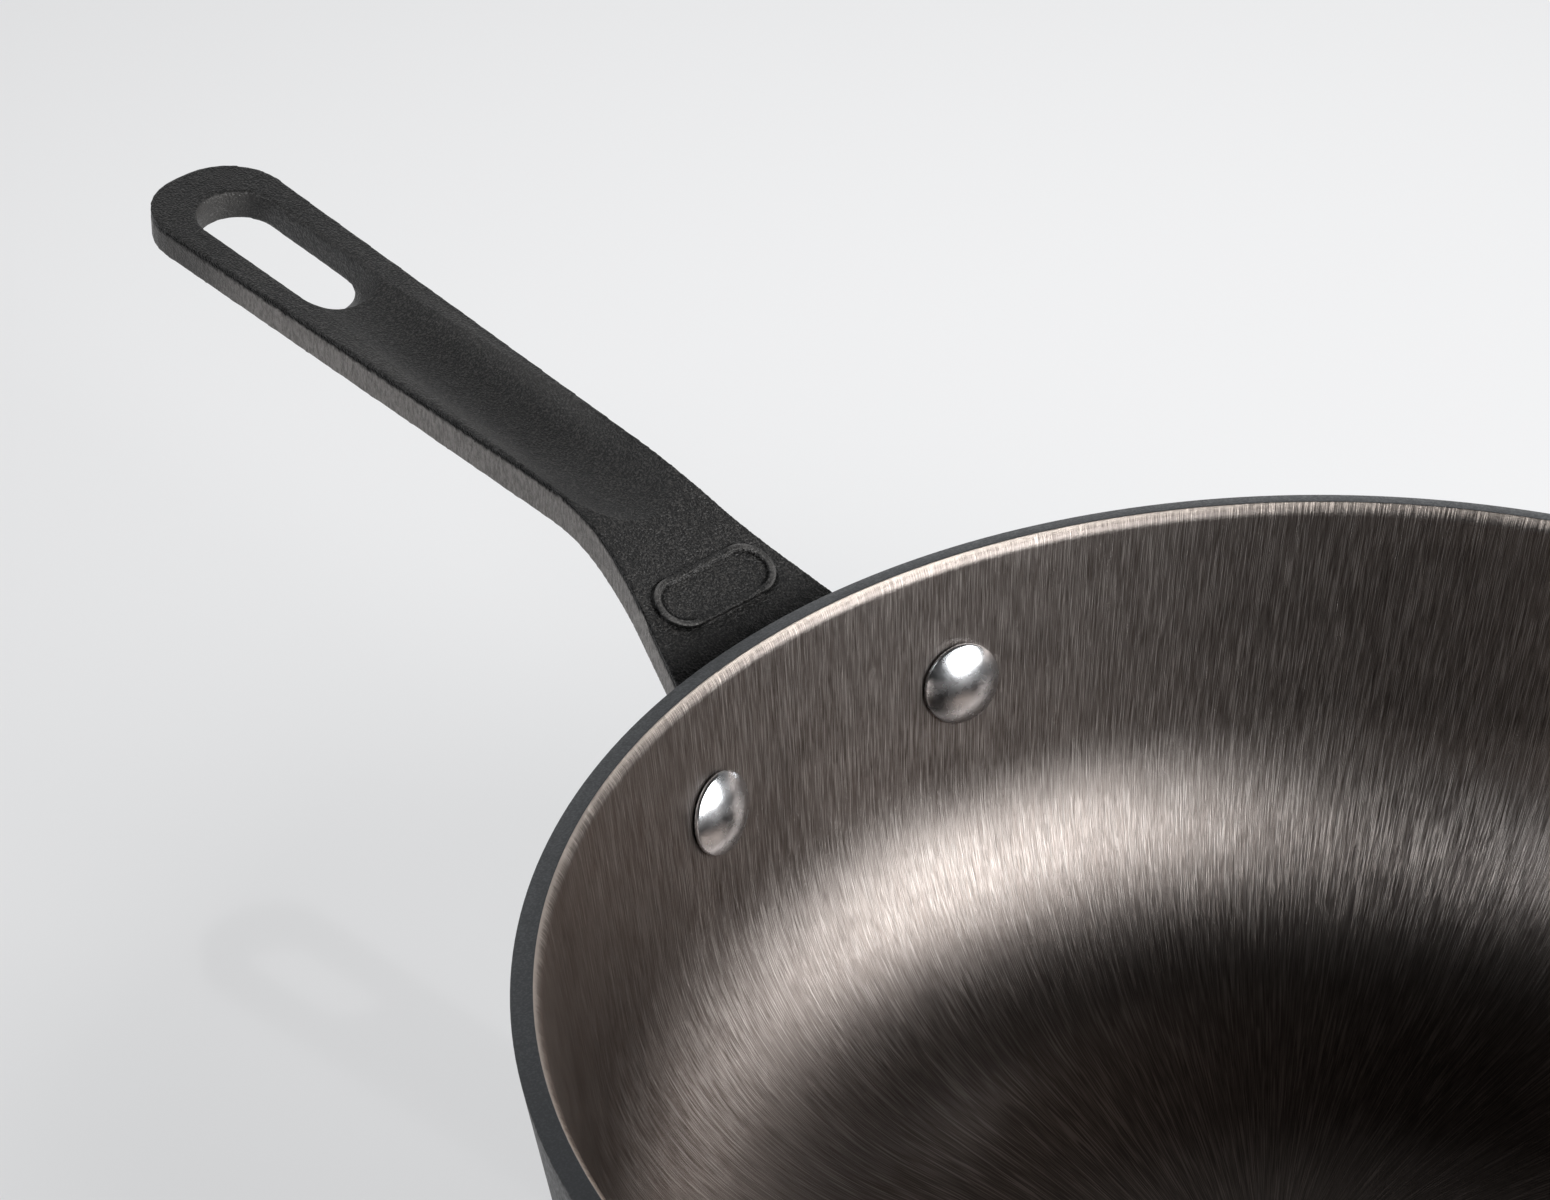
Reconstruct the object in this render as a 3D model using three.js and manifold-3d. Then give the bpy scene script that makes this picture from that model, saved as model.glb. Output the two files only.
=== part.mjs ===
// A deep skillet: a thick pan with a flared wall, a cast handle riveted to it, and two rivets.
// Millimetres, +Z up. The origin is the centre of the base, on the surface that the pan stands on.
// The handle points along +X.

import * as THREE from 'three';
import { mergeVertices } from 'three/addons/utils/BufferGeometryUtils.js';
import Module from 'manifold-3d';

// Pan
const RIM_RADIUS = 140; // outer edge of the rim
const PAN_HEIGHT = 79; // base to the outer edge of the rim
const WALL_LEAN = 10.3; // degrees that the wall leans outwards
const WALL_THICKNESS = 5;
const FLOOR_THICKNESS = 5;
const COVE_RADIUS = 44; // inside curve between floor and wall
const RIM_BAND_WIDTH = 3.8; // sloping band on top of the rim
const RIM_BAND_RISE = 1.05; // crest of the rim above its outer edge
const RIM_BEVEL_DROP = 1.45; // crest of the rim down to the foot of its inner bevel

// Rivets
const RIVET_DROP = 22.5; // rim edge down to the middle of the inner heads
const RIVET_SPACING = 57.7; // between the middles of the inner heads
const SHANK_DIAMETER = 7.5;
const HEAD_DIAMETER = 15.2; // domed head inside the pan
const HEAD_HEIGHT = 3;
const HEAD_EDGE = 0.7; // upright edge of the domed head
const TAIL_DIAMETER = 12.6; // flattened head on the yoke
const TAIL_HEIGHT = 2.2;
const TAIL_EDGE = 0.8;

// Handle
const HANDLE_REACH = 172.5; // rim edge out to the tip
const GRIP_RISE_ANGLE = 3.2; // degrees that the grip rises towards its tip
const GRIP_TIP_WIDTH = 27.8;
const TIP_FLAT = 4; // straight stretch across the tip's end
const GRIP_NECK_WIDTH = 20.6; // where the flare begins
const GRIP_TIP_THICKNESS = 5.8;
const NECK_THICKNESS = 7.8; // at the bend
const ROOT_THICKNESS = 5.5; // at the yoke
const BEND_REACH = 43.3; // rim edge out to where the neck dips to the pan
const BEND_RISE = 5; // top of the bend above the rim edge
const BEND_RADIUS = 53;
const FLARE_REACH = 37.8; // rim edge out to where the flare begins
const FLARE_ANGLE = 18; // degrees that each side opens towards the pan
const FLARE_RADIUS = 90;
const YOKE_THICKNESS = 5; // curved plate that lies on the wall
const EAR_RADIUS = 11; // round ends of the yoke, about the rivets
const YOKE_LIP = 2; // top edge of the yoke above the neck

// Hang slot, thumb scoop and blank panel in the handle
const SLOT_MARGIN = 9.4; // tip to the near end of the slot
const SLOT_LENGTH = 45.6; // on top of the grip
const SLOT_RAMP = 8; // length of the slope at its end nearer to the pan
const SLOT_WIDTH = 15.2;
const SCOOP_MARGIN = 24.5; // tip to the near end of the scoop
const SCOOP_OVERRUN = 11; // far end of the scoop past the bend
const SCOOP_RADIUS = 20; // hollow across the grip
const SCOOP_DEPTH = 1.4; // at its tip end
const SCOOP_TILT = 1.4; // degrees that it deepens towards the pan
const SCOOP_TIP_FADE = 26; // length over which the scoop runs out towards the tip
const SCOOP_NECK_FADE = 13; // and towards the pan
const PANEL_REACH = 20.6; // rim edge out to the middle of the blank panel
const PANEL_LENGTH = 26;
const PANEL_WIDTH = 11;
const PANEL_RISE = 0.9; // border above the neck
const PANEL_BORDER = 1.3; // width of the raised border
const PANEL_SINK = 0.45; // border above the plain field

// Clearances
const SEAT_GAP = 0.3; // between surfaces that lie on each other
const HOLE_CLEARANCE = 0.3; // all round a rivet's shank

// Facets
const PAN_SEGMENTS = 120;
const COVE_STEPS = 9;
const RIVET_SEGMENTS = 32;
const DOME_STEPS = 5;
const OUTLINE_STEPS = 8;
const SCOOP_SEGMENTS = 72;
const SCOOP_STEPS = 6;

const { degToRad } = THREE.MathUtils;
const lean = degToRad(WALL_LEAN);
const rise = degToRad(GRIP_RISE_ANGLE);
const flare = degToRad(FLARE_ANGLE);

const wasm = await Module();
wasm.setup();

// Closed geometry to a solid: shared corners are merged and empty triangles dropped.
function toSolid(geometry) {
  const bare = geometry.clone();
  bare.deleteAttribute('normal');
  bare.deleteAttribute('uv');
  const merged = mergeVertices(bare, 1e-4);
  const corners = merged.index.array;
  const triangles = [];
  for (let i = 0; i < corners.length; i += 3) {
    const [a, b, c] = corners.slice(i, i + 3);
    if (a !== b && b !== c && c !== a) triangles.push(a, b, c);
  }
  return new wasm.Manifold(new wasm.Mesh({
    numProp: 3,
    vertProperties: new Float32Array(merged.attributes.position.array),
    triVerts: new Uint32Array(triangles),
  }));
}

function toGeometry(solid) {
  const mesh = solid.getMesh();
  const geometry = new THREE.BufferGeometry();
  geometry.setAttribute('position', new THREE.BufferAttribute(new Float32Array(mesh.vertProperties), 3));
  geometry.setIndex(new THREE.BufferAttribute(new Uint32Array(mesh.triVerts), 1));
  geometry.computeVertexNormals();
  return geometry;
}

// Points of an arc about a centre, from one angle to another.
function arc(centre, radius, from, to, steps) {
  return Array.from({ length: steps + 1 }, (_, i) => {
    const angle = from + ((to - from) * i) / steps;
    return new THREE.Vector2(centre.x + radius * Math.cos(angle), centre.y + radius * Math.sin(angle));
  });
}

// A profile of (radius, height) points turned about the Z axis.
function turned(profile, segments) {
  return new THREE.LatheGeometry(profile, segments).rotateX(Math.PI / 2);
}

// An outline through corners given as [x, y, radius], each corner rounded to its radius.
function roundedOutline(corners) {
  const points = [];
  corners.forEach(([x, y, radius], i) => {
    const corner = new THREE.Vector2(x, y);
    if (!radius) {
      points.push(corner);
      return;
    }
    const before = corners.at(i - 1);
    const after = corners[(i + 1) % corners.length];
    const back = new THREE.Vector2(before[0] - x, before[1] - y).normalize();
    const on = new THREE.Vector2(after[0] - x, after[1] - y).normalize();
    const half = Math.acos(back.dot(on)) / 2;
    const inward = back.clone().add(on).normalize();
    const centre = corner.clone().addScaledVector(inward, radius / Math.sin(half));
    const start = corner.clone().addScaledVector(back, radius / Math.tan(half)).sub(centre).angle();
    const end = corner.clone().addScaledVector(on, radius / Math.tan(half)).sub(centre).angle();
    const sweep = Math.atan2(Math.sin(end - start), Math.cos(end - start));
    points.push(...arc(centre, radius, start, start + sweep, OUTLINE_STEPS));
  });
  return new THREE.Shape(points);
}

// A slot-shaped outline with round ends, its middle at (x, y).
function stadium(x, y, length, width) {
  const end = length / 2 - width / 2;
  return new THREE.Shape([
    ...arc(new THREE.Vector2(x + end, y), width / 2, -Math.PI / 2, Math.PI / 2, 2 * OUTLINE_STEPS),
    ...arc(new THREE.Vector2(x - end, y), width / 2, Math.PI / 2, 1.5 * Math.PI, 2 * OUTLINE_STEPS),
  ]);
}

function extruded(shape, depth) {
  return new THREE.ExtrudeGeometry(shape, { depth, bevelEnabled: false });
}

// The wall in the plane of radius and height: its direction up and its outward normal.
const rimEdge = new THREE.Vector2(RIM_RADIUS, PAN_HEIGHT);
const wallUp = new THREE.Vector2(Math.sin(lean), Math.cos(lean));
const wallOut = new THREE.Vector2(Math.cos(lean), -Math.sin(lean));

// The point at a height on a line parallel to the outer wall, a distance outside it.
function wallAt(height, outside) {
  const point = rimEdge.clone().addScaledVector(wallOut, outside);
  return point.addScaledVector(wallUp, (height - point.y) / wallUp.y);
}

// The curve between a floor and a wall, from the floor up.
function cove(floorHeight, outside, radius) {
  const centre = wallAt(floorHeight + radius, outside - radius);
  return arc(centre, radius, -Math.PI / 2, -lean, COVE_STEPS);
}

// Where the rivets stand on the inner wall, and their directions out through it.
const rivetHeight = PAN_HEIGHT - RIVET_DROP;
const rivetSeat = wallAt(rivetHeight, -WALL_THICKNESS);
const rivetTurn = Math.asin(RIVET_SPACING / 2 / rivetSeat.x);

// A frame at a rivet: its origin on the inner wall and its Z axis out through the wall.
function rivetFrame(side) {
  const turn = side * rivetTurn;
  const radial = new THREE.Vector3(Math.cos(turn), Math.sin(turn), 0);
  const outward = radial.clone().multiplyScalar(wallOut.x).setZ(wallOut.y);
  const across = new THREE.Vector3(-Math.sin(turn), Math.cos(turn), 0);
  const origin = radial.multiplyScalar(rivetSeat.x).setZ(rivetSeat.y);
  return new THREE.Matrix4().makeBasis(across, outward.clone().cross(across), outward).setPosition(origin);
}

// A rod along a rivet's axis, for the rivet's hole in the wall and the yoke.
function rivetHole(side) {
  const length = 4 * (WALL_THICKNESS + YOKE_THICKNESS);
  const radius = SHANK_DIAMETER / 2 + HOLE_CLEARANCE;
  const rod = new THREE.CylinderGeometry(radius, radius, length, RIVET_SEGMENTS).rotateX(Math.PI / 2);
  return toSolid(rod.applyMatrix4(rivetFrame(side)));
}

const rivetHoles = rivetHole(1).add(rivetHole(-1));

// Pan: floor, cove, flared wall, and a rim with a sloping band and an inner bevel.
function makePan() {
  const profile = [
    new THREE.Vector2(0, 0),
    ...cove(0, 0, COVE_RADIUS + WALL_THICKNESS),
    rimEdge,
    new THREE.Vector2(RIM_RADIUS - RIM_BAND_WIDTH, PAN_HEIGHT + RIM_BAND_RISE),
    wallAt(PAN_HEIGHT + RIM_BAND_RISE - RIM_BEVEL_DROP, -WALL_THICKNESS),
    ...cove(FLOOR_THICKNESS, -WALL_THICKNESS, COVE_RADIUS).reverse(),
    new THREE.Vector2(0, FLOOR_THICKNESS),
  ];
  return toSolid(turned(profile, PAN_SEGMENTS)).subtract(rivetHoles);
}

// Yoke: a plate with round ears that follows the wall's curve.
const yokeInside = SEAT_GAP;
const yokeOutside = SEAT_GAP + YOKE_THICKNESS;
const yokeTop = rivetHeight + EAR_RADIUS;
const yokeBottom = rivetHeight - EAR_RADIUS;

function makeYoke() {
  const inside = [wallAt(yokeTop + EAR_RADIUS, yokeInside), wallAt(yokeBottom - EAR_RADIUS, yokeInside)];
  const outside = [wallAt(yokeBottom - EAR_RADIUS, yokeOutside), wallAt(yokeTop + EAR_RADIUS, yokeOutside)];
  const ring = turned([...inside, ...outside, inside[0]], PAN_SEGMENTS);
  const outline = extruded(stadium(0, rivetHeight, RIVET_SPACING + 2 * EAR_RADIUS, 2 * EAR_RADIUS), 2 * RIM_RADIUS);
  const acrossX = new THREE.Matrix4().makeBasis(
    new THREE.Vector3(0, 1, 0),
    new THREE.Vector3(0, 0, 1),
    new THREE.Vector3(1, 0, 0),
  );
  return toSolid(ring).intersect(toSolid(outline.applyMatrix4(acrossX)));
}

// Everything inside the yoke's seat, so that the neck stops at the wall.
function insideOfSeat() {
  const top = wallAt(PAN_HEIGHT, yokeInside);
  const bottom = wallAt(yokeBottom - EAR_RADIUS, yokeInside);
  const profile = [new THREE.Vector2(0, bottom.y), bottom, top, new THREE.Vector2(0, top.y)];
  return toSolid(turned(profile, PAN_SEGMENTS));
}

// Side view of the handle: the grip's top, the bend and the neck's dip to the yoke.
const tipX = RIM_RADIUS + HANDLE_REACH;
const bend = new THREE.Vector2(RIM_RADIUS + BEND_REACH, PAN_HEIGHT + BEND_RISE);
const neckRoot = wallAt(yokeTop - YOKE_LIP, yokeOutside);
const dip = Math.atan2(bend.y - neckRoot.y, bend.x - neckRoot.x);
const neckEndX = wallAt(yokeBottom, -WALL_THICKNESS).x;

function gripTopAt(x) {
  return bend.y + (x - bend.x) * Math.tan(rise);
}

function neckTopAt(x) {
  return bend.y + (x - bend.x) * Math.tan(dip);
}

function makeSideView() {
  const rootDrop = ROOT_THICKNESS / Math.cos(dip);
  const bendShift = NECK_THICKNESS * Math.tan((dip - rise) / 2);
  const corners = [
    [neckEndX, neckTopAt(neckEndX), 0],
    [neckEndX, neckTopAt(neckEndX) - rootDrop, 0],
    [bend.x + bendShift, bend.y - NECK_THICKNESS, BEND_RADIUS - NECK_THICKNESS],
    [tipX, gripTopAt(tipX) - GRIP_TIP_THICKNESS, 0],
    [tipX, gripTopAt(tipX), 0],
    [bend.x, bend.y, BEND_RADIUS],
  ];
  const width = 2 * RIM_RADIUS;
  const slab = extruded(roundedOutline(corners), width);
  return toSolid(slab.rotateX(Math.PI / 2).translate(0, width / 2, 0));
}

// Plan view of the handle: a tapered grip with a round tip, flaring to the yoke.
function makePlanView() {
  const flareX = RIM_RADIUS + FLARE_REACH;
  const rootHalf = GRIP_NECK_WIDTH / 2 + (flareX - neckEndX) * Math.tan(flare);
  const tipHalf = GRIP_TIP_WIDTH / 2;
  const tipRadius = tipHalf - TIP_FLAT / 2;
  const corners = [
    [neckEndX, -rootHalf, 0],
    [flareX, -GRIP_NECK_WIDTH / 2, FLARE_RADIUS],
    [tipX, -tipHalf, tipRadius],
    [tipX, tipHalf, tipRadius],
    [flareX, GRIP_NECK_WIDTH / 2, FLARE_RADIUS],
    [neckEndX, rootHalf, 0],
  ];
  return toSolid(extruded(roundedOutline(corners), 2 * PAN_HEIGHT));
}

// Hang slot: straight through the grip, with a slope down into it at the end nearer to the pan.
function makeSlot() {
  const length = SLOT_LENGTH - SLOT_RAMP;
  const middle = tipX - SLOT_MARGIN - length / 2;
  const through = extruded(stadium(middle, 0, length, SLOT_WIDTH), 2 * PAN_HEIGHT);
  const depth = 2 * GRIP_TIP_THICKNESS;
  const slope = SLOT_RAMP / GRIP_TIP_THICKNESS;
  const ramp = extruded(stadium(0, 0, length, SLOT_WIDTH), depth).translate(0, 0, -depth / 2);
  ramp.applyMatrix4(new THREE.Matrix4().makeShear(0, 0, 0, 0, -slope, 0));
  ramp.translate(middle - SLOT_RAMP, 0, gripTopAt(middle - SLOT_LENGTH / 2));
  return toSolid(through).add(toSolid(ramp));
}

// Thumb scoop: a long round bar laid along the grip's top, whose ends run out of the surface.
function makeScoop() {
  const axisHeight = SCOOP_RADIUS - SCOOP_DEPTH;
  const runOut = Math.sqrt(1 - (axisHeight / SCOOP_RADIUS) ** 2);
  const tipEnd = tipX - SCOOP_MARGIN - SCOOP_TIP_FADE;
  const length = tipEnd - (bend.x - SCOOP_OVERRUN + SCOOP_NECK_FADE);
  const quarter = Array.from({ length: SCOOP_STEPS + 1 }, (_, i) => ((i / SCOOP_STEPS) * Math.PI) / 2);
  const end = (angle, at, fade) => new THREE.Vector2(
    SCOOP_RADIUS * Math.sin(angle),
    at + (fade / runOut) * Math.cos(angle),
  );
  const profile = [
    ...quarter.map((angle) => end(angle, -length, -SCOOP_NECK_FADE)),
    ...quarter.toReversed().map((angle) => end(angle, 0, SCOOP_TIP_FADE)),
  ];
  const bar = new THREE.LatheGeometry(profile, SCOOP_SEGMENTS).rotateZ(-Math.PI / 2);
  bar.translate(0, 0, axisHeight).rotateY(-rise - degToRad(SCOOP_TILT));
  return toSolid(bar.translate(tipEnd, 0, gripTopAt(tipEnd)));
}

// Blank panel: a low pad with round ends and a raised border, standing across the neck.
function makePanel() {
  const x = RIM_RADIUS + PANEL_REACH;
  const fieldLength = PANEL_LENGTH - 2 * PANEL_BORDER;
  const fieldWidth = PANEL_WIDTH - 2 * PANEL_BORDER;
  const pad = extruded(stadium(0, 0, PANEL_LENGTH, PANEL_WIDTH), PANEL_RISE + NECK_THICKNESS / 2);
  const field = extruded(stadium(0, 0, fieldLength, fieldWidth), NECK_THICKNESS);
  pad.translate(0, 0, -NECK_THICKNESS / 2);
  field.translate(0, 0, PANEL_RISE - PANEL_SINK);
  const [whole, sunk] = [pad, field].map((form) => {
    form.rotateZ(Math.PI / 2).rotateY(-dip).translate(x, 0, neckTopAt(x));
    return toSolid(form);
  });
  return whole.subtract(sunk);
}

function makeHandle() {
  const bar = makeSideView().intersect(makePlanView());
  const whole = bar.add(makePanel()).subtract(makeScoop()).subtract(makeSlot());
  return whole.add(makeYoke()).subtract(insideOfSeat()).subtract(rivetHoles);
}

// Rivet in its own frame: domed head inside the pan, shank, and flattened tail on the yoke.
function makeRivet() {
  const headRadius = HEAD_DIAMETER / 2;
  const headSeat = -SEAT_GAP - headRadius ** 2 / (2 * rivetSeat.x);
  const domeHeight = HEAD_HEIGHT - HEAD_EDGE;
  const domeRadius = (headRadius ** 2 + domeHeight ** 2) / (2 * domeHeight);
  const domeCentre = new THREE.Vector2(0, headSeat - HEAD_HEIGHT + domeRadius);
  const domeEnd = -Math.PI / 2 + Math.asin(headRadius / domeRadius);
  const tailSeat = WALL_THICKNESS + yokeOutside + SEAT_GAP;
  const shankRadius = SHANK_DIAMETER / 2;
  const tailRadius = TAIL_DIAMETER / 2;
  const profile = [
    new THREE.Vector2(0, headSeat - HEAD_HEIGHT),
    ...arc(domeCentre, domeRadius, -Math.PI / 2, domeEnd, DOME_STEPS).slice(1),
    new THREE.Vector2(headRadius, headSeat),
    new THREE.Vector2(shankRadius, headSeat),
    new THREE.Vector2(shankRadius, tailSeat),
    new THREE.Vector2(tailRadius, tailSeat),
    new THREE.Vector2(tailRadius, tailSeat + TAIL_EDGE),
    new THREE.Vector2(shankRadius, tailSeat + TAIL_HEIGHT),
    new THREE.Vector2(0, tailSeat + TAIL_HEIGHT),
  ];
  return turned(profile, RIVET_SEGMENTS);
}

const panMetal = new THREE.MeshStandardMaterial({ color: 0x4a4541, roughness: 0.42, metalness: 0.9 });
const castIron = new THREE.MeshStandardMaterial({ color: 0x2f2f31, roughness: 0.75, metalness: 0.5 });
const rivetMetal = new THREE.MeshStandardMaterial({ color: 0xc9c7c4, roughness: 0.2, metalness: 1 });

function part(name, geometry, material) {
  const mesh = new THREE.Mesh(geometry, material.clone());
  mesh.name = name;
  return mesh;
}

const skillet = new THREE.Group();
skillet.add(part('pan_body', toGeometry(makePan()), panMetal));
skillet.add(part('handle', toGeometry(makeHandle()), castIron));

for (const [name, side] of [['rivet_left', 1], ['rivet_right', -1]]) {
  const rivet = part(name, makeRivet(), rivetMetal);
  rivet.applyMatrix4(rivetFrame(side));
  skillet.add(rivet);
}

export default skillet;
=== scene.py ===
"""A deep riveted skillet: pan, handle and rivets with their finishes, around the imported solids."""
import math

import bmesh
import bpy
import mathutils.noise
import numpy as np
from mathutils import Matrix, Vector


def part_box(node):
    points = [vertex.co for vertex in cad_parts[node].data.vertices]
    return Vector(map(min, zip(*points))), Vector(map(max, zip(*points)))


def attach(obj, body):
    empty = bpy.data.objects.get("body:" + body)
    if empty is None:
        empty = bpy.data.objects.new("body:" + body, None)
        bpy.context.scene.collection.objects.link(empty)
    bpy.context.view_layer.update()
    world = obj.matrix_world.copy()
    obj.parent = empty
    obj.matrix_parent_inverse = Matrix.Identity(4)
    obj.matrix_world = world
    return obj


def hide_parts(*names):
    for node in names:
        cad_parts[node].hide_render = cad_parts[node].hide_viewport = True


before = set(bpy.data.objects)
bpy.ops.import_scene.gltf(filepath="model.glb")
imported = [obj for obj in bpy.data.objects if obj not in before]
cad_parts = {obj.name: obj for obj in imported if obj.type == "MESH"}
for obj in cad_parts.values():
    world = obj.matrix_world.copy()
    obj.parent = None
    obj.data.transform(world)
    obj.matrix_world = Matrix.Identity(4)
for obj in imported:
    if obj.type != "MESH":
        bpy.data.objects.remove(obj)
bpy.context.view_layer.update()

bl_info = {
    "name": "Deep riveted skillet",
    "version": (1, 0, 0),
    "blender": (4, 5, 0),
    "location": "View3D > Sidebar > Skillet",
    "description": "Makes the pan, handle and rivets of a deep skillet, and a plain stage",
    "category": "Object",
}

MM = 0.001
MERGE_DISTANCE = 1e-6
_, pan_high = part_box("pan_body")
handle_low, handle_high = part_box("handle")


# Settings

def length(name, description, default):
    return bpy.props.FloatProperty(
        name=name, description=description, default=default, min=0, subtype="DISTANCE", unit="LENGTH")


def angle(name, description, degrees):
    return bpy.props.FloatProperty(
        name=name, description=description, default=math.radians(degrees), subtype="ANGLE", unit="ROTATION")


def amount(name, description, default):
    return bpy.props.FloatProperty(
        name=name, description=description, default=default, min=0, subtype="FACTOR")


def number(name, description, default):
    return bpy.props.IntProperty(name=name, description=description, default=default, min=1)


def colour(name, description, default):
    return bpy.props.FloatVectorProperty(
        name=name, description=description, default=default, size=3, min=0, max=1, subtype="COLOR")


class SkilletPanSettings(bpy.types.PropertyGroup):
    """Sizes and colours of the pan."""

    rim_radius: length("Rim radius", "Axis to the outer edge of the rim", pan_high.x)
    crest_height: length("Crest height", "Base to the crest of the rim", pan_high.z)
    wall_lean: angle("Wall lean", "How far the wall leans outwards", 10.3)
    wall_thickness: length("Wall thickness", "Thickness of the wall", 5 * MM)
    floor_thickness: length("Floor thickness", "Thickness of the floor", 5 * MM)
    cove_radius: length("Cove radius", "Inside curve between floor and wall", 44 * MM)
    band_width: length("Band width", "Sloping band on top of the rim", 3.8 * MM)
    band_rise: length("Band rise", "Crest of the rim above its outer edge", 1.05 * MM)
    bevel_drop: length("Bevel drop", "Crest of the rim down to the foot of its inner bevel", 1.45 * MM)
    edge_round: length("Edge round", "Rounding of the rim's edges", 0.3 * MM)
    foot_round: length("Foot round", "Rounding between the bevel and the wall", 3 * MM)
    stroke_circle: length("Stroke circle", "Circle in the floor that the brush strokes run past", 14.6 * MM)
    segments: number("Segments", "Facets round the pan", 256)
    metal_colour: colour("Metal", "Brushed metal inside the pan", (0.152, 0.130, 0.119))
    stroke_colour: colour("Strokes", "Pale strokes left by the brush", (0.40, 0.370, 0.352))
    floor_colour: colour("Floor", "Darker metal of the pan's floor", (0.048, 0.041, 0.037))
    bevel_colour: colour("Bevel", "Polished bevel inside the rim", (0.55, 0.49, 0.445))
    band_colour: colour("Band", "Dark band on top of the rim", (0.055, 0.058, 0.062))
    outside_colour: colour("Outside", "Dark skin on the outside", (0.036, 0.036, 0.037))


class SkilletHandleSettings(bpy.types.PropertyGroup):
    """Surface and colours of the handle."""

    voxel: length("Voxel", "Size of the skin's facets", 0.26 * MM)
    relax_rounds: number("Relax rounds", "How often the skin is relaxed, which rounds its edges", 5)
    keep_share: amount("Keep share", "Share of the skin's facets that is kept", 0.34)
    burr_depth: length("Burr depth", "Roughness of the edge that the grinding left", 0.03 * MM)
    slot_rounds: number("Slot rounds", "Rounds of smoothing at the lips of the slot", 14)
    crease_depth: length("Crease depth", "Depth of the line above the ground sides", 0.08 * MM)
    cast_wave: length("Cast wave", "Slow unevenness of the casting", 0.05 * MM)
    iron_colour: colour("Iron", "Dark cast skin", (0.011, 0.011, 0.0112))
    speck_colour: colour("Specks", "Pale grains in the cast skin", (0.048, 0.046, 0.044))
    # Paler colour of worn raised edges, also a painted highlight on them, on the slot's end wall and on the
    # scoop's shoulders
    wear_and_highlight_colour: colour("Rubbed", "Raised edges that were rubbed bare", (0.11, 0.107, 0.104))
    side_colour: colour("Sides", "Ground side faces", (0.29, 0.274, 0.262))
    # Near-black colour of the painted shade in the groove, by the rim, in hollows and in the scoop, and of
    # the darker tip
    painted_shade_and_dark_tip_colour: colour("Crease", "Dark line above the ground sides", (0.005, 0.005, 0.005))


class SkilletRivetSettings(bpy.types.PropertyGroup):
    """Sizes and colour of the rivets."""

    drop: length("Drop", "Rim edge down to the middle of the inner heads", 22.5 * MM)
    spacing: length("Spacing", "Between the middles of the inner heads", 57.7 * MM)
    shank_diameter: length("Shank diameter", "Diameter of the shank", 7.5 * MM)
    hole_clearance: length("Hole clearance", "Gap round the shank", 0.3 * MM)
    head_diameter: length("Head diameter", "Domed head inside the pan", 15.2 * MM)
    head_height: length("Head height", "Height of the domed head", 3 * MM)
    head_edge: length("Head edge", "Upright edge of the domed head", 0.7 * MM)
    tail_diameter: length("Tail diameter", "Flattened head on the yoke", 12.6 * MM)
    tail_height: length("Tail height", "Height of the flattened head", 2.2 * MM)
    tail_edge: length("Tail edge", "Upright edge of the flattened head", 0.8 * MM)
    edge_round: length("Edge round", "Rounding of the heads' edges", 0.6 * MM)
    yoke_thickness: length("Yoke thickness", "Plate of the handle under the flattened head", 5 * MM)
    seat_gap: length("Seat gap", "Gap between surfaces that lie on each other", 0.3 * MM)
    segments: number("Segments", "Facets round a rivet", 128)
    steel_colour: colour("Steel", "Polished rivet steel", (0.81, 0.835, 0.87))


class SkilletStageSettings(bpy.types.PropertyGroup):
    """Floor, lamps and camera."""

    floor_radius: length("Floor radius", "Radius of the pale floor", 4.0)
    floor_colour: colour("Floor", "Pale floor", (0.33, 0.332, 0.336))
    glow: amount("Glow", "How far the floor is lit from below, as the camera sees it", 0.58)
    camera_distance: length("Camera distance", "Camera to the point that it looks at", 1.129)
    camera_azimuth: angle("Camera azimuth", "Camera's direction round the pan, from the handle", 137.884)
    camera_elevation: angle("Camera elevation", "Camera's height above that point", 34.753)
    camera_roll: angle("Camera roll", "Camera's turn about its own axis", -0.173)
    camera_lens: length("Camera lens", "Focal length", 149.6 * MM)
    aim_past_rim: length("Aim past rim", "Where the camera looks, outside the rim", 4.6 * MM)


# Node helpers

def feed(tree, socket, value):
    """Links a socket to an input socket, or sets the input to a number or a colour."""
    if isinstance(value, bpy.types.NodeSocket):
        tree.links.new(value, socket)
    else:
        socket.default_value = value


def feed_all(tree, node, inputs):
    for key, value in inputs.items():
        feed(tree, node.inputs[key], value)


def add(tree, kind, inputs=None, **settings):
    """A new node; an input is a number, a colour or a socket to link."""
    node = tree.nodes.new(kind)
    for name, value in settings.items():
        setattr(node, name, value)
    feed_all(tree, node, inputs or {})
    return node


def calc(tree, operation, *values):
    return add(tree, "ShaderNodeMath", dict(enumerate(values)), operation=operation).outputs[0]


def vector_calc(tree, operation, inputs):
    """The outputs of a Vector Math node: 0 is its vector, and Value its number."""
    return add(tree, "ShaderNodeVectorMath", inputs, operation=operation).outputs


def new_group(name, kind, inputs, outputs):
    """An empty node group; inputs and outputs are (name, socket type) pairs."""
    tree = bpy.data.node_groups.new(name, kind)
    for in_out, sockets in (("INPUT", inputs), ("OUTPUT", outputs)):
        for socket_name, socket_type in sockets:
            tree.interface.new_socket(socket_name, in_out=in_out, socket_type=socket_type)
    start = tree.nodes.new("NodeGroupInput")
    end = tree.nodes.new("NodeGroupOutput")
    return tree, start.outputs, end.inputs


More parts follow.
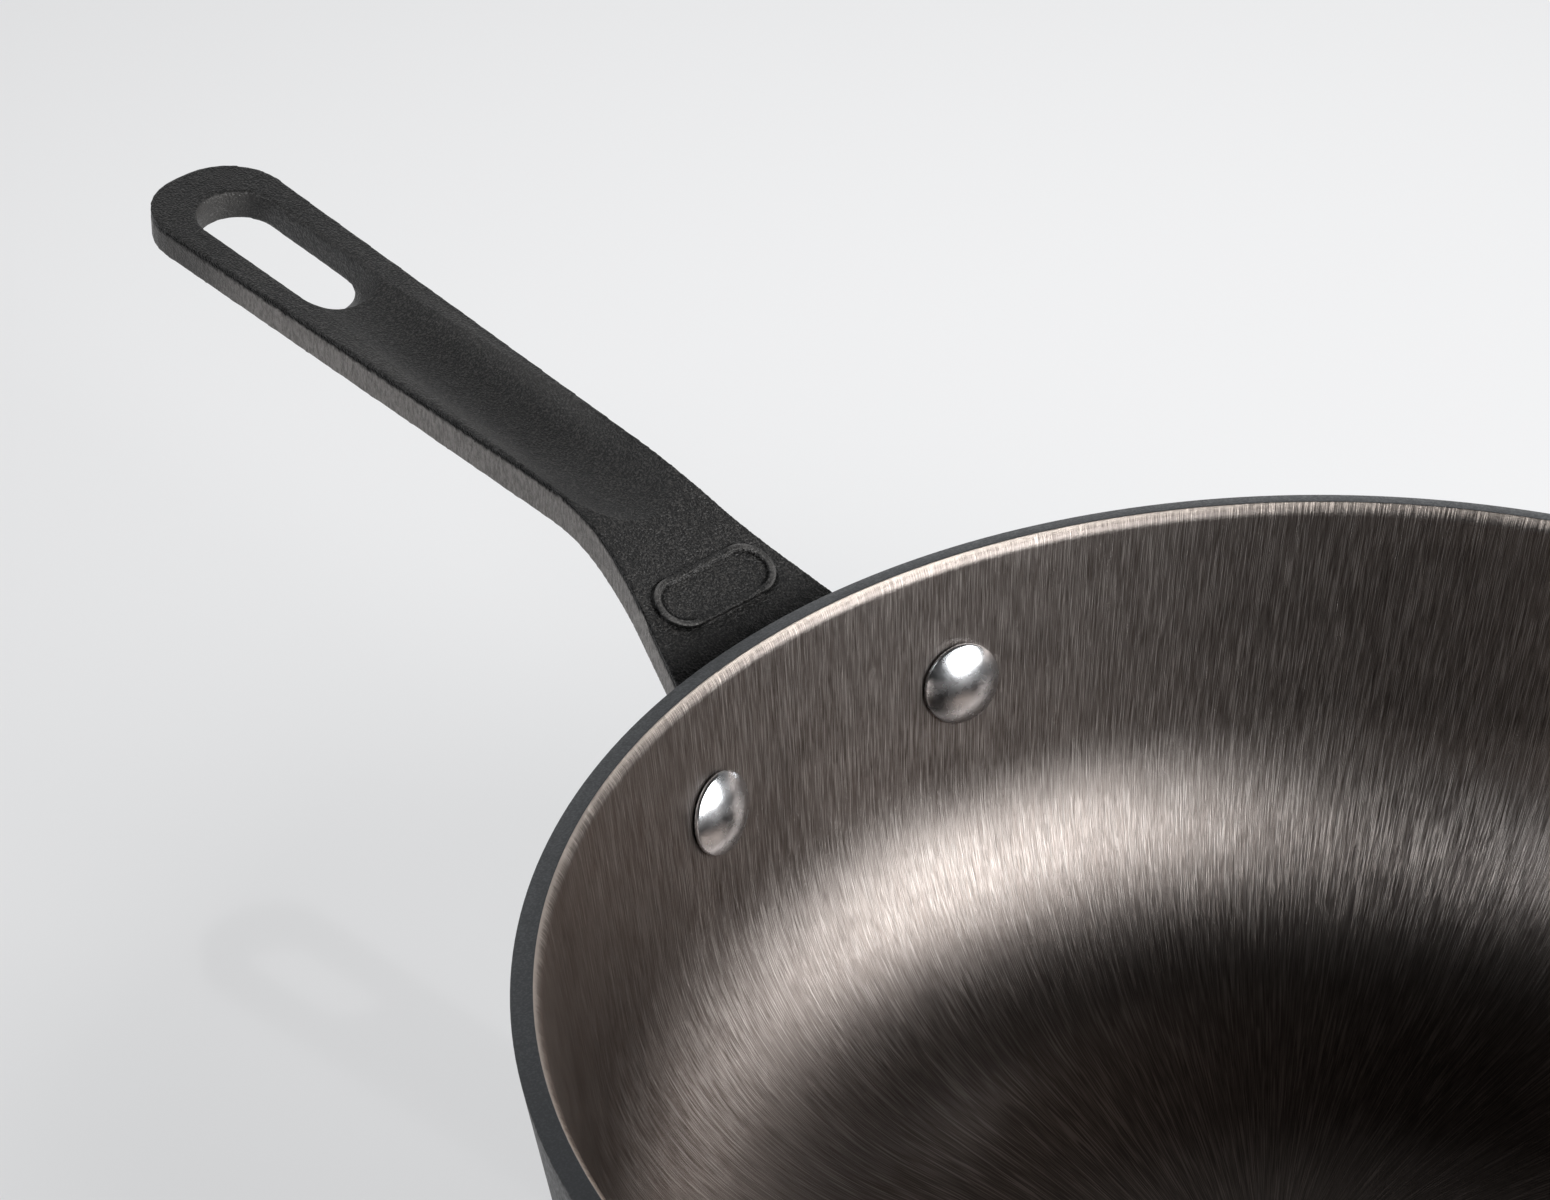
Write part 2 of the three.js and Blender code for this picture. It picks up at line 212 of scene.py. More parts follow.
def shape_by_nodes(name, mesh, tree, values):
    """The mesh that a geometry tree makes of a starting mesh, as a new plain object."""
    source = bpy.data.objects.new(name + "_source", mesh)
    bpy.context.scene.collection.objects.link(source)
    modifier = source.modifiers.new("Shape", "NODES")
    modifier.node_group = tree
    for item in tree.interface.items_tree:
        if item.item_type == "SOCKET" and item.in_out == "INPUT" and item.name in values:
            modifier[item.identifier] = values[item.name]
    piece = bake_object(name, source)
    piece.data.materials.clear()
    piece.data.materials.append(values["Material"])
    piece.data.polygons.foreach_set("material_index", [0] * len(piece.data.polygons))
    return piece


def bake_object(name, source):
    """A plain object of what a source shows with its modifiers; the source is removed."""
    evaluated = source.evaluated_get(bpy.context.evaluated_depsgraph_get())
    mesh = bpy.data.meshes.new_from_object(evaluated)
    mesh.name = name
    bpy.data.objects.remove(source)
    piece = bpy.data.objects.new(name, mesh)
    bpy.context.scene.collection.objects.link(piece)
    return piece


def set_attribute(mesh, name, values):
    layer = mesh.attributes.new(name, "FLOAT", "POINT")
    layer.data.foreach_set("value", np.asarray(values, np.float32))


def vertex_values(mesh, name):
    """One vector for each vertex of a mesh: its place, co, or its normal."""
    values = np.empty(3 * len(mesh.vertices), np.float32)
    mesh.vertices.foreach_get(name, values)
    return values.reshape(-1, 3).astype(float)


def set_places(mesh, places):
    mesh.vertices.foreach_set("co", places.astype(np.float32).ravel())
    mesh.update()


# Outlines of turned pieces, as (radius, height) points

CORNER_STEPS = 4
FOOT_STEPS = 8
DOME_STEPS = 14
COVE_STEPS = 28
OUTLINE_SPACING = 3 * MM


def arc(centre, radius, start, end, steps):
    turns = [start + (end - start) * i / steps for i in range(steps + 1)]
    return [Vector((centre[0] + radius * math.cos(t), centre[1] + radius * math.sin(t))) for t in turns]


def rounded(before, corner, after, radius, steps=CORNER_STEPS):
    """Points that round the corner between two straight stretches."""
    back = (before - corner).normalized()
    onward = (after - corner).normalized()
    half = back.angle(onward) / 2
    centre = corner + (back + onward).normalized() * (radius / math.sin(half))
    first = corner + back * (radius / math.tan(half)) - centre
    last = corner + onward * (radius / math.tan(half)) - centre
    start = math.atan2(first.y, first.x)
    sweep = math.remainder(math.atan2(last.y, last.x) - start, 2 * math.pi)
    return arc(centre, radius, start, start + sweep, steps)


def evenly(start, end):
    """Points on a straight stretch, its ends left out, about the outline's spacing apart."""
    count = max(1, round((end - start).length / OUTLINE_SPACING))
    return [start.lerp(end, i / count) for i in range(1, count)]


def outline_mesh(name, points):
    mesh = bpy.data.meshes.new(name)
    edges = [(i, i + 1) for i in range(len(points) - 1)]
    mesh.from_pydata([(p.x, 0, p.y) for p in points], edges, [])
    return mesh


class PanShape:
    """Places on the pan's section, worked out from its settings."""

    def __init__(self, pan):
        self.lean = pan.wall_lean
        self.full_turn = math.pi / 2 - self.lean
        self.rim = Vector((pan.rim_radius, pan.crest_height - pan.band_rise))
        self.crest = Vector((pan.rim_radius - pan.band_width, pan.crest_height))
        self.up = Vector((math.sin(self.lean), math.cos(self.lean)))
        self.out = Vector((math.cos(self.lean), -math.sin(self.lean)))
        self.wall = pan.wall_thickness
        self.floor = pan.floor_thickness
        self.cove = pan.cove_radius
        self.centre = self.wall_at(self.floor + self.cove, -self.wall - self.cove)
        self.bevel_foot = self.wall_at(self.crest.y - pan.bevel_drop, -self.wall)
        self.foot_round = pan.foot_round

    def wall_at(self, height, outside):
        """The point at a height, a distance outside the outer wall."""
        point = self.rim + self.out * outside
        return point + self.up * ((height - point.y) / self.up.y)

    def section(self, edge_round):
        """The whole section, from the middle of the base round to the middle of the floor."""
        down = -math.pi / 2
        outer_centre = self.wall_at(self.cove + self.wall, -self.cove - self.wall)
        outer = arc(outer_centre, self.cove + self.wall, down, -self.lean, COVE_STEPS)
        inner = arc(self.centre, self.cove, -self.lean, down, COVE_STEPS)
        base = Vector((0, 0))
        floor = Vector((0, self.floor))
        rim = rounded(outer[-1], self.rim, self.crest, edge_round)
        crest = rounded(self.rim, self.crest, self.bevel_foot, edge_round)
        foot = rounded(self.crest, self.bevel_foot, inner[0], self.foot_round, FOOT_STEPS)
        return [
            base, *evenly(base, outer[0]), *outer,
            *evenly(outer[-1], rim[0]), *rim, *crest, *foot,
            *evenly(foot[-1], inner[0]), *inner,
            *evenly(inner[-1], floor), floor,
        ]

    def inside(self, radius, height):
        """True where a point of the skin lies nearer to the inside than to the outside."""
        outside = (radius - self.rim.x) * self.out.x + (height - self.rim.y) * self.out.y
        from_centre = np.hypot(radius - self.centre.x, height - self.centre.y)
        past_cove = (radius - self.centre.x) * self.up.x + (height - self.centre.y) * self.up.y > 0
        on_floor = radius < self.centre.x
        depth = np.where(past_cove, outside, from_centre - self.cove - self.wall)
        return np.where(on_floor & ~past_cove, height > self.floor / 2, depth < -self.wall / 2)

    def run(self, radius, height):
        """Distance along the inside from the edge of the floor: up the wall, and below 0 on the floor."""
        along = (radius - self.centre.x) * self.up.x + (height - self.centre.y) * self.up.y
        turn = np.arctan2(radius - self.centre.x, self.centre.y - height)
        on_cove = self.cove * np.clip(turn, 0, self.full_turn)
        return np.where(radius < self.centre.x, radius - self.centre.x, on_cove + np.maximum(along, 0))


def rivet_section(rivet, wall, seat_radius):
    """A rivet's section, from the middle of its domed head along the axis to its flattened tail."""
    head = rivet.head_diameter / 2
    shank = rivet.shank_diameter / 2
    tail = rivet.tail_diameter / 2
    seat = -rivet.seat_gap - head ** 2 / (2 * seat_radius)
    rise = rivet.head_height - rivet.head_edge
    dome = (head ** 2 + rise ** 2) / (2 * rise)
    dome_turn = math.asin(head / dome)
    apex = seat - rivet.head_height
    dome_points = arc((0, apex + dome), dome, -math.pi / 2, -math.pi / 2 + dome_turn, DOME_STEPS)
    tail_seat = wall + 2 * rivet.seat_gap + rivet.yoke_thickness
    under_head = Vector((head, seat))
    tail_edge = Vector((tail, tail_seat + rivet.tail_edge))
    tail_flat = Vector((shank, tail_seat + rivet.tail_height))
    tail_foot = Vector((tail, tail_seat))
    head_edge = Vector((head, seat - rivet.head_edge))
    return [
        *dome_points[:-2],
        *rounded(dome_points[-3], head_edge, under_head, rivet.edge_round),
        *rounded(head_edge, under_head, Vector((shank, seat)), rivet.edge_round / 2),
        Vector((shank, seat)), Vector((shank, tail_seat)),
        *rounded(Vector((shank, tail_seat)), tail_foot, tail_edge, rivet.edge_round / 2),
        *rounded(tail_foot, tail_edge, tail_flat, rivet.edge_round),
        *rounded(tail_edge, tail_flat, Vector((0, tail_flat.y)), rivet.edge_round),
        Vector((0, tail_flat.y)),
    ]


# Geometry trees

HOLE_SIDES = 32
TURNED_INPUTS = [("Outline", "NodeSocketGeometry"), ("Segments", "NodeSocketInt")]
RIVET_INPUTS = [("Seat Radius", "NodeSocketFloat"), ("Seat Height", "NodeSocketFloat"),
                ("Spacing", "NodeSocketFloat"), ("Wall Lean", "NodeSocketFloat")]
MATERIAL_INPUT = ("Material", "NodeSocketMaterial")
MESH_OUTPUT = ("Mesh", "NodeSocketGeometry")


def turning_group():
    """Turns an outline in the XZ plane about the Z axis."""
    tree, given, result = new_group("Turned outline", "GeometryNodeTree", TURNED_INPUTS, [MESH_OUTPUT])
    rows = add(tree, "GeometryNodeAttributeDomainSize", {"Geometry": given["Outline"]}).outputs["Point Count"]
    columns = add(tree, "FunctionNodeIntegerMath", {0: given["Segments"], 1: 1}, operation="ADD").outputs[0]
    grid = add(tree, "GeometryNodeMeshGrid", {"Vertices X": columns, "Vertices Y": rows})
    index = add(tree, "GeometryNodeInputIndex").outputs[0]
    row = add(tree, "FunctionNodeIntegerMath", {0: index, 1: rows}, operation="MODULO").outputs[0]
    column = add(tree, "FunctionNodeIntegerMath", {0: index, 1: rows}, operation="DIVIDE_FLOOR").outputs[0]
    turn = calc(tree, "DIVIDE", calc(tree, "MULTIPLY", column, 2 * math.pi), given["Segments"])
    place = add(tree, "GeometryNodeInputPosition").outputs[0]
    point = add(
        tree, "GeometryNodeSampleIndex",
        {"Geometry": given["Outline"], "Value": place, "Index": row}, data_type="FLOAT_VECTOR")
    parts = add(tree, "ShaderNodeSeparateXYZ", {0: point.outputs[0]}).outputs
    turned = add(tree, "ShaderNodeCombineXYZ", {
        "X": calc(tree, "MULTIPLY", parts["X"], calc(tree, "COSINE", turn)),
        "Y": calc(tree, "MULTIPLY", parts["X"], calc(tree, "SINE", turn)),
        "Z": parts["Z"],
    }).outputs[0]
    placed = add(tree, "GeometryNodeSetPosition", {"Geometry": grid.outputs["Mesh"], "Position": turned})
    closed = add(tree, "GeometryNodeMergeByDistance", {
        "Geometry": placed.outputs[0], "Distance": MERGE_DISTANCE})
    tree.links.new(closed.outputs[0], result["Mesh"])
    return tree


def rivet_places_group():
    """Two points on the inner wall, and the turn that points a rivet out through the wall."""
    tree, given, result = new_group(
        "Rivet places", "GeometryNodeTree", RIVET_INPUTS,
        [("Points", "NodeSocketGeometry"), ("Turn", "NodeSocketRotation")])
    half = calc(tree, "DIVIDE", given["Spacing"], 2)
    half_turn = calc(tree, "ARCSINE", calc(tree, "DIVIDE", half, given["Seat Radius"]))
    index = add(tree, "GeometryNodeInputIndex").outputs[0]
    side = calc(tree, "SUBTRACT", 1, calc(tree, "MULTIPLY", index, 2))
    turn = calc(tree, "MULTIPLY", side, half_turn)
    seat = add(tree, "ShaderNodeCombineXYZ", {
        "X": calc(tree, "MULTIPLY", given["Seat Radius"], calc(tree, "COSINE", turn)),
        "Y": calc(tree, "MULTIPLY", given["Seat Radius"], calc(tree, "SINE", turn)),
        "Z": given["Seat Height"],
    }).outputs[0]
    points = add(tree, "GeometryNodePoints", {"Count": 2, "Position": seat})
    level = calc(tree, "COSINE", given["Wall Lean"])
    outward = add(tree, "ShaderNodeCombineXYZ", {
        "X": calc(tree, "MULTIPLY", level, calc(tree, "COSINE", turn)),
        "Y": calc(tree, "MULTIPLY", level, calc(tree, "SINE", turn)),
        "Z": calc(tree, "MULTIPLY", -1, calc(tree, "SINE", given["Wall Lean"])),
    }).outputs[0]
    aligned = add(tree, "FunctionNodeAlignRotationToVector", {"Vector": outward}, axis="Z")
    tree.links.new(points.outputs[0], result["Points"])
    tree.links.new(aligned.outputs[0], result["Turn"])
    return tree


def use_group(tree, group, given, inputs):
    """A geometry group in a tree, with inputs of the same names linked."""
    return add(tree, "GeometryNodeGroup", {name: given[name] for name, _ in inputs}, node_tree=group)


def at_rivets(tree, places, given, item):
    """A copy of a mesh at each rivet's place, turned to point out through the wall."""
    spots = use_group(tree, places, given, RIVET_INPUTS).outputs
    copies = add(tree, "GeometryNodeInstanceOnPoints", {
        "Points": spots["Points"], "Instance": item, "Rotation": spots["Turn"]})
    return copies.outputs[0]


def finish_shape(tree, result, geometry, material):
    """Real mesh, smooth shading and a material at a tree's end."""
    real = add(tree, "GeometryNodeRealizeInstances", {"Geometry": geometry})
    smooth = add(tree, "GeometryNodeSetShadeSmooth", {"Geometry": real.outputs[0]})
    worn = add(tree, "GeometryNodeSetMaterial", {"Geometry": smooth.outputs[0], "Material": material})
    tree.links.new(worn.outputs[0], result["Mesh"])


def pan_tree(turning, places):
    """The pan turned from its outline, with a hole for each rivet."""
    tree, given, result = new_group(
        "Skillet pan", "GeometryNodeTree",
        [*TURNED_INPUTS, *RIVET_INPUTS, ("Hole Radius", "NodeSocketFloat"),
         ("Hole Length", "NodeSocketFloat"), MATERIAL_INPUT],
        [MESH_OUTPUT])
    body = use_group(tree, turning, given, TURNED_INPUTS)
    rod = add(tree, "GeometryNodeMeshCylinder", {
        "Vertices": HOLE_SIDES, "Radius": given["Hole Radius"], "Depth": given["Hole Length"]})
    rods = at_rivets(tree, places, given, rod.outputs["Mesh"])
    solid_rods = add(tree, "GeometryNodeRealizeInstances", {"Geometry": rods})
    cut = add(tree, "GeometryNodeMeshBoolean", {
        "Mesh 1": body.outputs["Mesh"], "Mesh 2": solid_rods.outputs[0],
    }, operation="DIFFERENCE", solver="EXACT")
    finish_shape(tree, result, cut.outputs["Mesh"], given["Material"])
    return tree


def rivets_tree(turning, places):
    """A rivet turned from its outline, at each of its places."""
    tree, given, result = new_group(
        "Skillet rivets", "GeometryNodeTree",
        [*TURNED_INPUTS, *RIVET_INPUTS, MATERIAL_INPUT], [MESH_OUTPUT])
    body = use_group(tree, turning, given, TURNED_INPUTS)
    rivets = at_rivets(tree, places, given, body.outputs["Mesh"])
    finish_shape(tree, result, rivets, given["Material"])
    return tree


def node_group(name, make, *parts):
    """A node group by its name, made the first time."""
    return bpy.data.node_groups.get(name) or make(*parts)


# Finishes

WALL_ROUGHNESS = 0.345
STROKE_ROUGHNESS = 0.06
FLOOR_ROUGHNESS = 0.28
GRAIN_ROUGHNESS = 0.1
# The range that holds nearly all values of a noise
NOISE_SPAN = (0.3, 0.7)
# Kinds of brush line: their share of the given strokes, how fast they change along it, and their noise
STROKE_KINDS = {
    "Fine": {"share": 1.0, "pace": 1.0, "detail": 1.0, "low": 0.36, "high": 0.66},
    "Hairs": {"share": 0.55, "pace": 0.6, "detail": 0.0, "low": 0.57, "high": 0.72},
}


def new_material(name):
    material = bpy.data.materials.new(name)
    material.use_nodes = True
    tree = material.node_tree
    return material, tree, tree.nodes["Principled BSDF"]


def rgba(values, gain=1.0):
    return (*(c * gain for c in values), 1.0)


def noise(tree, vector, scale, detail=2.0, roughness=0.5):
    node = add(tree, "ShaderNodeTexNoise", {
        "Vector": vector, "Scale": scale, "Detail": detail, "Roughness": roughness})
    return node.outputs["Fac"]


def ramp(tree, value, low, high, to_low=0.0, to_high=1.0):
    """A value moved from one range to another, smoothly and within its ends."""
    node = add(tree, "ShaderNodeMapRange", {
        "Value": value, "From Min": low, "From Max": high, "To Min": to_low, "To Max": to_high},
        interpolation_type="SMOOTHSTEP")
    return node.outputs["Result"]


def mixed(tree, kind, factor, first, second):
    """A mix of two numbers (FLOAT) or of two colours (RGBA)."""
    node = add(tree, "ShaderNodeMix", data_type=kind)
    sockets = [socket for socket in node.inputs if socket.enabled]
    for socket, value in zip(sockets, (factor, first, second)):
        feed(tree, socket, value)
    return next(socket for socket in node.outputs if socket.enabled)


def blend(tree, factor, first, second):
    return mixed(tree, "RGBA", factor, first, second)


def mix_value(tree, factor, first, second):
    return mixed(tree, "FLOAT", factor, first, second)


def weighted(tree, first, first_weight, second, second_weight):
    """The sum of two values, each times its weight."""
    return calc(
        tree, "ADD",
        calc(tree, "MULTIPLY", first, first_weight), calc(tree, "MULTIPLY", second, second_weight))


def bump(tree, height, distance, strength=1.0):
    node = add(tree, "ShaderNodeBump", {"Height": height, "Distance": distance, "Strength": strength})
    return node.outputs["Normal"]


def cast_grain_group():
    """Fine cast skin: its height, and a mask of pale specks."""
    tree, given, result = new_group(
        "Cast grain", "ShaderNodeTree",
        [("Vector", "NodeSocketVector"), ("Grains Per Metre", "NodeSocketFloat")],
        [("Height", "NodeSocketFloat"), ("Specks", "NodeSocketFloat")])
    fine_scale = given["Grains Per Metre"]
    coarse_scale = calc(tree, "MULTIPLY", fine_scale, 0.28)
    fine = noise(tree, given["Vector"], fine_scale, detail=1.0, roughness=0.6)
    coarse = noise(tree, given["Vector"], coarse_scale)
    tree.links.new(weighted(tree, fine, 0.65, coarse, 0.35), result["Height"])
    tree.links.new(ramp(tree, fine, low=0.46, high=0.68), result["Specks"])
    return tree


def brush_strokes_group():
    """Strokes of a brush down a turned wall: a fine grain of lines, and sparse longer hairs."""
    tree, given, result = new_group(
        "Brush strokes", "ShaderNodeTree",
        [("Vector", "NodeSocketVector"), ("Swirl", "NodeSocketFloat"), ("Run", "NodeSocketFloat"),
         ("Strokes", "NodeSocketFloat"), ("Stroke Length", "NodeSocketFloat")],
        [(name, "NodeSocketFloat") for name in STROKE_KINDS])
    flat = vector_calc(tree, "MULTIPLY", {0: given["Vector"], 1: (1, 1, 0)})
    radial = vector_calc(tree, "NORMALIZE", {0: flat[0]})
    turned = add(tree, "ShaderNodeVectorRotate", {
        "Vector": radial[0], "Angle": given["Swirl"]}, rotation_type="Z_AXIS")
    along = calc(tree, "DIVIDE", given["Run"], given["Stroke Length"])
    for name, kind in STROKE_KINDS.items():
        count = calc(tree, "MULTIPLY", given["Strokes"], kind["share"])
        wide = vector_calc(tree, "SCALE", {0: turned.outputs[0], "Scale": count})
        lift = add(tree, "ShaderNodeCombineXYZ", {"Z": calc(tree, "MULTIPLY", along, kind["pace"])})
        place = vector_calc(tree, "ADD", {0: wide[0], 1: lift.outputs[0]})
        line = noise(tree, place[0], scale=1.0, detail=kind["detail"], roughness=0.6)
        tree.links.new(ramp(tree, line, kind["low"], kind["high"]), result[name])
    return tree


def shader_group(tree, name, make, inputs):
    return add(tree, "ShaderNodeGroup", inputs, node_tree=node_group(name, make)).outputs


def object_place(tree):
    return add(tree, "ShaderNodeTexCoord").outputs["Object"]


def attribute(tree, name):
    return add(tree, "ShaderNodeAttribute", attribute_name=name).outputs["Fac"]


def brushed_inside(pan):
    """Metal brushed down the wall and across the floor, with a polished bevel under the rim."""
    material, tree, shader = new_material("brushed_inside")
    place = object_place(tree)
    floor_share = attribute(tree, "floor_share")
    course = {"Vector": place, "Swirl": attribute(tree, "swirl"), "Run": attribute(tree, "run")}
    wall = shader_group(tree, "Brush strokes", brush_strokes_group, {
        **course, "Strokes": 2000.0, "Stroke Length": 5 * MM})
    floor = shader_group(tree, "Brush strokes", brush_strokes_group, {
        **course, "Strokes": 380.0, "Stroke Length": 8 * MM})
    fine = mix_value(tree, floor_share, wall["Fine"], floor["Fine"])
    hairs = mix_value(tree, floor_share, wall["Hairs"], floor["Hairs"])
    pale = weighted(tree, fine, 0.6, hairs, 0.9)
    brushed = blend(tree, pale, rgba(pan.metal_colour), rgba(pan.stroke_colour))
    cloud = noise(tree, place, scale=38.0, detail=3.0, roughness=0.6)
    stain = ramp(tree, cloud, low=0.48, high=0.72, to_high=0.25)
    ground = blend(tree, stain, brushed, rgba(pan.floor_colour))
    worn = blend(tree, pale, rgba(pan.floor_colour), rgba(pan.metal_colour, 0.85))
    metal = blend(tree, floor_share, ground, worn)
    ragged = calc(tree, "MULTIPLY", calc(tree, "SUBTRACT", pale, 0.35), 0.6)
    polish = ramp(tree, calc(tree, "ADD", attribute(tree, "bevel"), ragged), low=0.3, high=0.75)
    wall_rough = calc(tree, "ADD", WALL_ROUGHNESS, calc(tree, "MULTIPLY", pale, STROKE_ROUGHNESS))
    tangent = add(tree, "ShaderNodeTangent", direction_type="RADIAL", axis="Z")
    feed_all(tree, shader, {
        "Base Color": blend(tree, polish, metal, rgba(pan.bevel_colour)),
        "Roughness": mix_value(tree, floor_share, wall_rough, FLOOR_ROUGHNESS),
        "Metallic": 1.0,
        "Anisotropic": 0.12,
        "Specular Tint": (0.6, 0.55, 0.52, 1),
        "Tangent": tangent.outputs[0],
        "Normal": bump(tree, pale, 0.012 * MM),
    })
    return material


def dark_skin(name, base, speck_gain, grains, depth, roughness, metallic):
    """Dark iron skin with a fine cast grain, and specks that are paler by a gain."""
    material, tree, shader = new_material(name)
    grain = shader_group(tree, "Cast grain", cast_grain_group, {
        "Vector": object_place(tree), "Grains Per Metre": grains})
    feed_all(tree, shader, {
        "Base Color": blend(tree, grain["Specks"], rgba(base), rgba(base, speck_gain)),
        "Roughness": ramp(tree, grain["Height"], *NOISE_SPAN,
                          roughness + GRAIN_ROUGHNESS, roughness - GRAIN_ROUGHNESS),
        "Metallic": metallic,
        "Normal": bump(tree, grain["Height"], depth, strength=0.8),
    })
    return material


def handle_iron(handle):
    """Cast handle: dark grained faces, and paler ground sides with marks across them."""
    material, tree, shader = new_material("handle_iron")
    place = object_place(tree)
    grain = shader_group(tree, "Cast grain", cast_grain_group, {
        "Vector": place, "Grains Per Metre": 2300.0})
    side = attribute(tree, "side")
    # Painted shade in the groove, by the rim, in hollows and in the scoop, and a darker tip
    painted_shade_and_dark_tip = attribute(tree, "painted_shade_and_dark_tip")
    squeezed = vector_calc(tree, "MULTIPLY", {0: place, 1: (1, 0.5, 0.36)})
    marks = noise(tree, squeezed[0], scale=1700.0, detail=3.0, roughness=0.65)
    skin = blend(tree, grain["Specks"], rgba(handle.iron_colour), rgba(handle.speck_colour))
    # Paler where edges are worn and where a highlight is painted
    cast = blend(tree, attribute(tree, "wear_and_highlight"), skin, rgba(handle.wear_and_highlight_colour))
    pale = ramp(tree, marks, low=0.35, high=0.65)
    ground = blend(tree, pale, rgba(handle.side_colour, 0.6), rgba(handle.side_colour))
    bare = blend(tree, side, cast, ground)
    height = weighted(tree, grain["Height"], 1.0, calc(tree, "MULTIPLY", marks, side), 1.2)
    feed_all(tree, shader, {
        "Base Color": blend(tree, painted_shade_and_dark_tip, bare, rgba(handle.painted_shade_and_dark_tip_colour)),
        "Roughness": ramp(tree, grain["Height"], *NOISE_SPAN, to_low=0.5, to_high=0.36),
        # Where shade is painted, the skin also turns metallic with its near-black colour, so that it reflects
        # little
        "Metallic": calc(tree, "MAXIMUM", calc(tree, "MULTIPLY", side, 0.7), painted_shade_and_dark_tip),
        "Specular IOR Level": 0.46,
        "Normal": bump(tree, height, 0.5 * MM),
    })
    return material


def polished_steel(rivet):
    """Bright rivet steel with faint worn patches."""
    material, tree, shader = new_material("rivet_steel")
    cloud = noise(tree, object_place(tree), scale=420.0)
    wear_and_highlight = ramp(tree, cloud, *NOISE_SPAN)
    feed_all(tree, shader, {
        "Base Color": blend(tree, wear_and_highlight, rgba(rivet.steel_colour, 0.9), rgba(rivet.steel_colour)),
        "Roughness": mix_value(tree, wear_and_highlight, 0.29, 0.22),
        "Metallic": 1.0,
        "Normal": bump(tree, cloud, 0.01 * MM, strength=0.5),
    })
    return material


# Pieces

INSIDE_SLOT, BAND_SLOT, OUTSIDE_SLOT = range(3)
# Radii between which the dark floor of the pan turns into its wall
FLOOR_FADE = (70 * MM, 119 * MM)
SWIRL_STEPS = 4000
# How near to their circle strokes are followed, as a factor
SWIRL_MARGIN = 1.02
RELAX_FACTOR = 0.5
EVENING_ROUNDS = 4

# Where marks on the handle set in or fade out, from and to, in metres past the yoke's inner end
YOKE_CLEAR = (12 * MM, 18 * MM)
# The same past the pan's rim; the first pair is where the painted shade by the rim fades out
RIM_SHADE_END = (3 * MM, 17 * MM)
PANEL_END = (45 * MM, 60 * MM)
SCOOP_START = (50 * MM, 70 * MM)
# The same before the handle's tip
SCOOP_END = (75 * MM, 50 * MM)
SLOT_START = (54 * MM, 50 * MM)
TIP_FADE = (40 * MM, 18 * MM)
SLOT_WALL = (25 * MM, 15 * MM)
SLOT_END = (5 * MM, 3 * MM)
# The lips of the slot end between these distances from its middle
SLOT_LIP = (8 * MM, 9.5 * MM)

# Depth under the handle's upper edge: the ragged line of painted shade, and the ground side below it
RAGGED = 0.35 * MM
LINE_DEPTH = 0.85 * MM
LINE_WIDTH = 0.5 * MM
SIDE_DEPTH = (1.2 * MM, 1.6 * MM)
# Sizes of the burrs on the ground edges and of the casting's slow waves
BURR_SIZE = 0.9 * MM
WAVE_SIZE = 9 * MM


def seat_values(scene):
    """Where the rivets stand, as inputs of the geometry trees."""
    shape = PanShape(scene.skillet_pan)
    height = shape.rim.y - scene.skillet_rivets.drop
    seat = shape.wall_at(height, -shape.wall)
    return {"Seat Radius": seat.x, "Seat Height": seat.y,
            "Spacing": scene.skillet_rivets.spacing, "Wall Lean": shape.lean}


def turned_tree(name, make):
    turning = node_group("Turned outline", turning_group)
    places = node_group("Rivet places", rivet_places_group)
    return node_group(name, make, turning, places)


def smoothstep(value, low, high):
    share = np.clip((value - low) / (high - low), 0, 1)
    return share * share * (3 - 2 * share)


def mark_pan(mesh, pan):
    """Writes what the pan's finishes read, and gives each face its material slot."""
    shape = PanShape(pan)
    x, y, height = vertex_values(mesh, "co").T
    radius = np.hypot(x, y)
    run = shape.run(radius, height)
    set_attribute(mesh, "run", run)
    set_attribute(mesh, "swirl", swirl_at(shape, pan.stroke_circle, run))
    set_attribute(mesh, "floor_share", 1 - smoothstep(radius, *FLOOR_FADE))
    set_attribute(mesh, "bevel", np.clip((height - shape.bevel_foot.y) / pan.bevel_drop, -1, 1))
    slots = []
    for face in mesh.polygons:
        r = math.hypot(face.center.x, face.center.y)
        on_rim = face.center.z > shape.rim.y
        if on_rim and r > shape.crest.x:
            slots.append(BAND_SLOT)
        elif on_rim or shape.inside(r, face.center.z):
            slots.append(INSIDE_SLOT)
        else:
            slots.append(OUTSIDE_SLOT)
    mesh.polygons.foreach_set("material_index", slots)


def swirl_at(shape, circle, run):
    """How far a brush stroke has turned about the axis when it reaches a place on the inside."""
    steps = np.linspace(-shape.centre.x, 2 * shape.cove + shape.rim.y, SWIRL_STEPS)
    turn = np.clip(steps / shape.cove, 0, shape.full_turn)
    straight = np.maximum(steps - shape.cove * shape.full_turn, 0)
    radius = (shape.centre.x + np.minimum(steps, 0)
              + shape.cove * np.sin(turn) + straight * math.sin(shape.lean))
    radius = np.maximum(radius, circle * SWIRL_MARGIN)
    slope = circle / (radius * np.sqrt(radius ** 2 - circle ** 2))
    swirl = np.concatenate([[0], np.cumsum((slope[1:] + slope[:-1]) / 2 * np.diff(steps))])
    return np.interp(run, steps, swirl)


